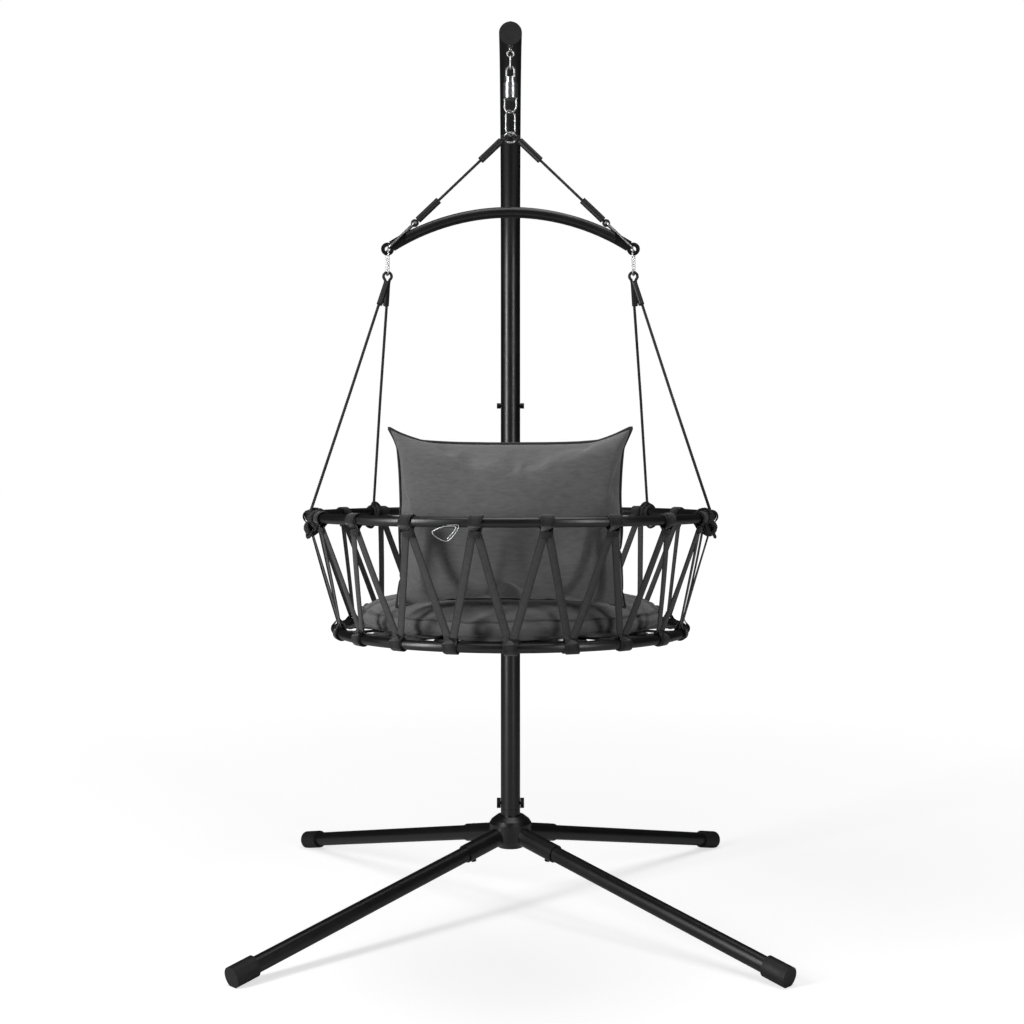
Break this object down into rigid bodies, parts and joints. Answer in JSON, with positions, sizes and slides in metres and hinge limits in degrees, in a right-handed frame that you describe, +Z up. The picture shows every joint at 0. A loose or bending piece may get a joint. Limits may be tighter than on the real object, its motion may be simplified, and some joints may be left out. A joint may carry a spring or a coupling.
{
  "type": "hanging basket chair with stand",
  "caption": "Round strap-sided basket chair hung by ropes, a bow bar and a swivel from a one-arm stand with a cross-shaped base.",
  "frame": {"origin": "on the floor at the axis of the upright pole", "axes": "+Z up; the arm reaches out along -Y; +X is to the right for someone who looks at the arm's tip"},
  "size_m": [1.148, 1.5065, 1.941],
  "materials": {
    "black_steel": "satin black powder coat",
    "black_plastic": "moulded matt black",
    "black_bolt": "black-plated fasteners and knobs",
    "zinc_steel": "bright zinc plate",
    "black_rope": "braided black polyester rope",
    "black_sleeve": "shrunk black sleeve",
    "grey_webbing": "flat woven charcoal webbing",
    "grey_canvas": "charcoal canvas cushion cover"
  },
  "bodies": {
    "stand": {"base_hub": "black_steel", "leg_sockets": "black_steel", "leg_bolts": "black_bolt", "lower_pole": "black_steel", "upper_pole": "black_steel", "pole_insert": "black_steel", "pole_joint_bolt": "black_bolt", "pole_foot_bolt": "black_bolt", "pole_end_cap": "black_plastic", "hook_eye_bolt": "zinc_steel", "hook_nut": "zinc_steel", "leg_front_left": "black_steel", "leg_front_right": "black_steel", "leg_rear_left": "black_steel", "leg_rear_right": "black_steel", "foot_cap_front_left": "black_plastic", "foot_cap_front_right": "black_plastic", "foot_cap_rear_left": "black_plastic", "foot_cap_rear_right": "black_plastic"},
    "hanger": {"hanger_link": "zinc_steel"},
    "swivel": {"swivel_bail": "zinc_steel", "swivel_barrel": "zinc_steel", "swivel_washer": "zinc_steel"},
    "bow_frame": {"swivel_spindle": "zinc_steel", "swivel_eye": "zinc_steel", "chain_link": "zinc_steel", "gather_ring": "zinc_steel", "bow_bar": "black_steel", "sling_rope_left": "black_rope", "sling_rope_right": "black_rope", "sling_sleeve_top_left": "black_sleeve", "sling_sleeve_top_right": "black_sleeve", "sling_sleeve_low_left": "black_sleeve", "sling_sleeve_low_right": "black_sleeve", "bow_link_left": "zinc_steel", "bow_link_right": "zinc_steel"},
    "basket": {"back_pillow": "grey_canvas", "hanging_link_left": "zinc_steel", "hanging_link_right": "zinc_steel", "knot_front_left": "black_rope", "knot_front_right": "black_rope", "knot_rear_left": "black_rope", "knot_rear_right": "black_rope", "lower_ring": "black_steel", "lower_wraps": "grey_webbing", "rope_front_left": "black_rope", "rope_front_right": "black_rope", "rope_rear_left": "black_rope", "rope_rear_right": "black_rope", "rope_sleeve_left": "black_sleeve", "rope_sleeve_right": "black_sleeve", "seat_cushion": "grey_canvas", "seat_webbing_cross": "grey_webbing", "seat_webbing_long": "grey_webbing", "side_straps": "grey_webbing", "upper_ring": "black_steel", "upper_wraps": "grey_webbing"}
  },
  "joints": [
    {"name": "side_swing", "type": "hinge", "parent": "stand", "child": "hanger", "pos_m": [0, -0.52, 1.8765], "axis": [0, 1, 0], "range_deg": [-12, 12]},
    {"name": "fore_aft_swing", "type": "hinge", "parent": "hanger", "child": "swivel", "pos_m": [0, -0.52, 1.8498], "axis": [1, 0, 0], "range_deg": [-12, 2]},
    {"name": "swivel_turn", "type": "hinge", "parent": "swivel", "child": "bow_frame", "pos_m": [0, -0.52, 1.8], "axis": [0, 0, 1], "continuous": true},
    {"name": "basket_rock", "type": "hinge", "parent": "bow_frame", "child": "basket", "pos_m": [0, -0.52, 1.4705], "axis": [1, 0, 0], "range_deg": [-2, 2]}
  ]
}
